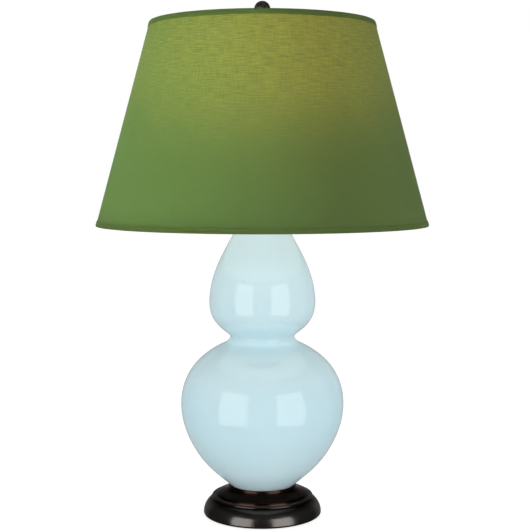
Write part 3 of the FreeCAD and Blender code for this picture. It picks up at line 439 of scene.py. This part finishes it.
def finish_plain_metal_pieces():
    """The socket, the rod and its nuts, the shade's rings, and the bulb's cap and wires."""
    paint(plain_metal("brass", (0.52, 0.36, 0.12), (0.66, 0.48, 0.19), roughness=0.3,
                      along=(200.0, 200.0, 20.0)),
          "socket_cap", "socket_shell", "screw_shell", "centre_contact", "terminal_screws",
          "socket_set_screw", "shade_washer")
    paint(plain_metal("zinc_steel", (0.42, 0.42, 0.43), (0.56, 0.56, 0.57), roughness=0.38,
                      along=(30.0, 30.0, 600.0)),
          "threaded_rod", "rod_nut", "rod_washer", "saddle_nut", "knob_shaft")
    paint(plain_metal("ring_wire", (0.70, 0.69, 0.64), (0.78, 0.77, 0.72), roughness=0.5, metallic=0.0),
          "shade_top_ring", "shade_bottom_ring")
    paint(plain_metal("bulb_metal", (0.60, 0.60, 0.60), (0.74, 0.74, 0.73), roughness=0.3),
          "bulb_cap", "bulb_tip_contact")
    paint(plain_metal("lead_wire", (0.35, 0.34, 0.33), (0.45, 0.44, 0.42), roughness=0.4),
          "bulb_lead_wires", "bulb_filament")


def finish_moulded_pieces():
    """The weight, the board, the felt, the gaskets, and the pieces of plastic and black glass."""
    paint(moulded("iron", (0.035, 0.035, 0.037), (0.060, 0.060, 0.062), roughness=0.7, fine=240.0,
                  strength=0.5), "base_weight")
    paint(moulded("fibreboard", (0.11, 0.070, 0.038), (0.17, 0.115, 0.068), roughness=0.85, fine=320.0,
                  strength=0.4), "base_cover", "socket_liner")
    paint(moulded("felt", (0.018, 0.020, 0.017), (0.034, 0.037, 0.032), roughness=0.95, fine=900.0,
                  strength=0.8), "felt_pad")
    paint(moulded("gasket", (0.012, 0.012, 0.012), (0.020, 0.020, 0.020), roughness=0.8),
          "foot_gasket", "neck_gasket")
    paint(moulded("bushing_plastic", (0.006, 0.006, 0.006), (0.012, 0.012, 0.012), roughness=0.5),
          "cord_bushing")
    paint(moulded("phenolic", (0.010, 0.006, 0.004), (0.018, 0.011, 0.008), roughness=0.28, fine=200.0,
                  strength=0.05), "socket_core", "switch_knob")
    paint(moulded("bulb_black_glass", (0.006, 0.006, 0.008), (0.012, 0.012, 0.014), roughness=0.15,
                  fine=200.0, strength=0.05), "bulb_insulator")


def finish_cad_pieces():
    """Materials of every piece that keeps its CAD shape."""
    paint(glaze(), "gourd_lower", "gourd_upper")
    finish_bronze_pieces()
    finish_plain_metal_pieces()
    finish_moulded_pieces()
    paint(backing(), "shade_liner")
    paint(frosted_bulb(), "bulb_glass")
    paint(clear_glass(), "bulb_stem")


# ---------------------------------------------------------------- mesh helpers

def cone(z, depth=0.0):
    """Radius of the shade's outermost face at a height, less a depth."""
    return BOTTOM_RADIUS - SLOPE * (z - SHADE_BOTTOM) - depth


def from_back(angle):
    """An angle round the axis, as the turn from the back: below 0 on one side and above 0 on the other."""
    return (angle + math.pi) % TURN - math.pi


def swept_round(name, section, angles):
    """A mesh made by carrying a closed cross-section round the lamp's axis.

    section(angle) gives the (radius, height) points at one angle, from the back of the lamp."""
    mesh = bmesh.new()
    rings = []
    for angle in angles:
        direction = (math.sin(angle), math.cos(angle))
        rings.append([mesh.verts.new((r * direction[0], r * direction[1], z)) for r, z in section(angle)])
    count = len(rings[0])
    for here, there in zip(rings, rings[1:] + rings[:1]):
        for index in range(count):
            after = (index + 1) % count
            mesh.faces.new((here[index], here[after], there[after], there[index]))
    bmesh.ops.recalc_face_normals(mesh, faces=mesh.faces)
    data = bpy.data.meshes.new(name)
    mesh.to_mesh(data)
    mesh.free()
    made = bpy.data.objects.new(name, data)
    bpy.context.scene.collection.objects.link(made)
    return made


def smooth(made, angle=35.0):
    """Smooth shading, with creases sharper than an angle kept."""
    made.data.polygons.foreach_set("use_smooth", [True] * len(made.data.polygons))
    made.data.set_sharp_from_angle(angle=math.radians(angle))
    return made


def even_angles(count, extra=()):
    """Evenly spaced angles round the axis, with a few more at a seam."""
    angles = [TURN * index / count for index in range(count)]
    return sorted(set(angles) | {angle % TURN for angle in extra})


# ---------------------------------------------------------------- shade

def shade_cover(material):
    """The fabric, with its glued lap seam down the back."""
    half_seam = SEAM_WIDTH / 2 / cone(SEAM_HEIGHT)
    step = SEAM_EDGE / cone(SEAM_HEIGHT)
    low, high = cover_low.z, cover_high.z
    heights = [low + (high - low) * row / COVER_ROWS for row in range(COVER_ROWS + 1)]

    def section(angle):
        rise = SEAM_RISE if -half_seam < from_back(angle) < half_seam else 0.0
        outer = [(cone(z, BINDING_SHEET) + rise, z) for z in heights]
        inner = [(cone(z, BINDING_SHEET + FABRIC_SHEET), z) for z in reversed(heights)]
        return outer + inner

    edges = (half_seam - step, half_seam + step, -half_seam + step, -half_seam - step)
    cover = smooth(swept_round("fabric_cover", section, even_angles(SHADE_SEGMENTS, edges)))
    cover.data.materials.append(material)
    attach(cover, "shade")
    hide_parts("shade_cover")
    return cover


def binding(name, node, edge, inward, material):
    """A folded strip of the same fabric round one edge, slightly puffed and hand-folded.

    inward is 1 at the bottom edge and -1 at the top."""
    ring_depth = BINDING_SHEET + FABRIC_SHEET + BACKING_SHEET + RING_ROOM

    def at(depth, rise, wave=0.0):
        z = edge + inward * rise
        return (cone(z, depth) + wave, z)

    def section(angle):
        def ripple(size, count, start=0.0):
            return size * MM * math.sin(count * angle + start)

        wave = ripple(0.10, 9, 0.7) + ripple(0.07, 23, 2.1)
        reach = BINDING_OUTER + ripple(0.25, 7, 1.3) + ripple(0.15, 31)
        lap = LAP_RISE if 0.0 < from_back(angle) < LAP_ANGLE else 0.0
        out = -BINDING_PUFF * 0.5 - lap
        outer_face = [
            at(BINDING_SHEET + 0.02 * MM, reach),
            at(out + 0.15 * MM, reach + 0.1 * MM, wave),
            at(out - 0.05 * MM, reach - 0.35 * MM, wave),
            at(out - BINDING_PUFF * 0.3, reach * 0.72, wave),
            at(out - BINDING_PUFF * 0.4, reach * 0.45, wave),
            at(out - BINDING_PUFF * 0.1, reach * 0.20, wave),
        ]
        fold = [
            at(out + 0.35 * MM, 0.55 * MM, wave * 0.5),
            at(out + 1.2 * MM, 0.10 * MM),
            at(ring_depth * 0.5, 0.0),
            at(ring_depth + 0.4 * MM, 0.12 * MM),
            at(ring_depth + 1.0 * MM, 0.9 * MM),
        ]
        inner_face = [
            at(ring_depth + 1.1 * MM, BINDING_INNER * 0.6),
            at(ring_depth + 0.8 * MM, BINDING_INNER),
            at(ring_depth + 0.3 * MM, BINDING_INNER),
        ]
        against_shade = [
            at(ring_depth + 0.2 * MM, 1.2 * MM),
            at(BINDING_SHEET + 0.4 * MM, 0.65 * MM),
            at(BINDING_SHEET + 0.02 * MM, 1.0 * MM),
        ]
        return outer_face + fold + inner_face + against_shade

    made = smooth(swept_round(name, section, even_angles(SHADE_SEGMENTS, LAP_EDGES)), angle=60.0)
    made.data.materials.append(material)
    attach(made, "shade")
    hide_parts(node)
    return made


def dress_shade():
    """The fabric cover and its two bindings."""
    cover = shade_cover(woven("linen_cover", (0.0438, 0.0828, 0.0190), (0.0496, 0.0928, 0.0215), lit=True))
    edge_cloth = woven("linen_binding", (0.051, 0.087, 0.012), (0.067, 0.111, 0.017), lit=False)
    top = binding("top_binding", "shade_top_binding", SHADE_TOP, -1, edge_cloth)
    bottom = binding("bottom_binding", "shade_bottom_binding", SHADE_BOTTOM, 1, edge_cloth)


# ---------------------------------------------------------------- floor, lights and camera

def make_world(ambient, backdrop, room):
    """White behind the lamp, and a plain even light on it.

    Glossy and clear pieces show the pale backdrop behind the lamp and a dim room in front of it."""
    world = bpy.data.worlds.new("studio")
    bpy.context.scene.world = world
    world.use_nodes = True
    tree = world.node_tree
    tree.nodes.clear()

    def larger(first, second):
        return add_node(tree, "ShaderNodeMath", {0: first, 1: second}, operation="MAXIMUM").outputs[0]

    def background(strength):
        inputs = {"Color": (1.0, 1.0, 1.0, 1.0), "Strength": strength}
        return add_node(tree, "ShaderNodeBackground", inputs).outputs[0]

    path = add_node(tree, "ShaderNodeLightPath").outputs
    place = add_node(tree, "ShaderNodeTexCoord").outputs["Generated"]
    parts = add_node(tree, "ShaderNodeSeparateXYZ", {"Vector": place})
    inputs = {"Value": parts.outputs["Y"], "From Min": BACKDROP_FROM, "From Max": BACKDROP_TO,
              "To Min": room, "To Max": backdrop}
    behind = add_node(tree, "ShaderNodeMapRange", inputs, interpolation_type="SMOOTHSTEP")
    seen = larger(path["Is Camera Ray"], behind.outputs["Result"])
    sharp = larger(path["Is Glossy Ray"], path["Is Transmission Ray"])
    inputs = {"Fac": larger(path["Is Camera Ray"], sharp), 1: background(ambient), 2: background(seen)}
    mix = add_node(tree, "ShaderNodeMixShader", inputs)
    add_node(tree, "ShaderNodeOutputWorld", {"Surface": mix.outputs[0]})


def make_floor(bright, bounce, seen):
    """A plain pale floor that is white to the camera and keeps a soft shadow.

    bright is its own light to the camera; bounce is its tone for the light it sends back to the lamp, and
    seen its tone for the camera."""
    mesh = bpy.data.meshes.new("floor")
    half = FLOOR_HALF_SIZE
    mesh.from_pydata([(-half, -half, 0), (half, -half, 0), (half, half, 0), (-half, half, 0)], [],
                     [(0, 1, 2, 3)])
    floor = bpy.data.objects.new("floor", mesh)
    bpy.context.scene.collection.objects.link(floor)
    material = bpy.data.materials.new("floor")
    material.use_nodes = True
    tree = material.node_tree
    tree.nodes.clear()
    to_camera = add_node(tree, "ShaderNodeLightPath").outputs["Is Camera Ray"]
    tone = add_node(tree, "ShaderNodeMapRange", {"Value": to_camera, "To Min": bounce, "To Max": seen})
    matt = add_node(tree, "ShaderNodeBsdfDiffuse", {"Color": tone.outputs["Result"]})
    strength = add_node(tree, "ShaderNodeMath", {0: to_camera, 1: bright}, operation="MULTIPLY")
    shine = add_node(tree, "ShaderNodeEmission", {"Strength": strength.outputs[0]})
    both = add_node(tree, "ShaderNodeAddShader", {0: matt.outputs[0], 1: shine.outputs[0]})
    add_node(tree, "ShaderNodeOutputMaterial", {"Surface": both.outputs[0]})
    mesh.materials.append(material)
    floor.visible_glossy = False


def area_light(name, azimuth, distance, middle, width, height, power, mirrored):
    """An upright rectangular light that faces the lamp, at an azimuth from straight in front."""
    data = bpy.data.lights.new(name, "AREA")
    data.shape = "RECTANGLE"
    data.size = width
    data.size_y = height
    data.energy = power
    made = bpy.data.objects.new(name, data)
    bpy.context.scene.collection.objects.link(made)
    turn = math.radians(azimuth)
    made.location = (distance * math.sin(turn), -distance * math.cos(turn), middle)
    towards = Vector((0, 0, middle)) - made.location
    made.rotation_euler = towards.to_track_quat("-Z", "Y").to_euler()
    made.visible_camera = False
    made.visible_glossy = mirrored
    return data


def make_lights():
    """Two tall soft boxes in front, a fill on either side, and two narrow lights at the shade's height."""
    for name, azimuth, distance, middle, width, height, radiance, mirrored in SOFT_BOXES:
        power = radiance * math.pi * width * height
        area_light(name, azimuth, distance, middle, width, height, power, mirrored)
    for name, azimuth, power in NARROW_LIGHTS:
        narrow = area_light(name, azimuth, NARROW_DISTANCE, NARROW_MIDDLE, NARROW_WIDTH, NARROW_HEIGHT,
                            power, mirrored=False)
        narrow.spread = math.radians(NARROW_SPREAD)
        narrow.color = NARROW_COLOUR


def make_camera():
    """The camera at the photograph's viewing angle."""
    data = bpy.data.cameras.new("camera")
    data.sensor_width = SENSOR_WIDTH
    data.lens = SENSOR_WIDTH * PHOTO_FOCAL_PIXELS / PHOTO_SIZE
    camera = bpy.data.objects.new("camera", data)
    bpy.context.scene.collection.objects.link(camera)
    camera.location = CAMERA_PLACE
    camera.rotation_euler = (math.radians(90 - CAMERA_TILT_DOWN), 0, 0)
    bpy.context.scene.camera = camera


make_camera()
make_world(ambient=0.72, backdrop=0.34, room=0.05)
make_floor(bright=0.8, bounce=0.90, seen=0.32)
make_lights()
finish_cad_pieces()
dress_shade()
bpy.context.scene.view_settings.view_transform = "Standard"
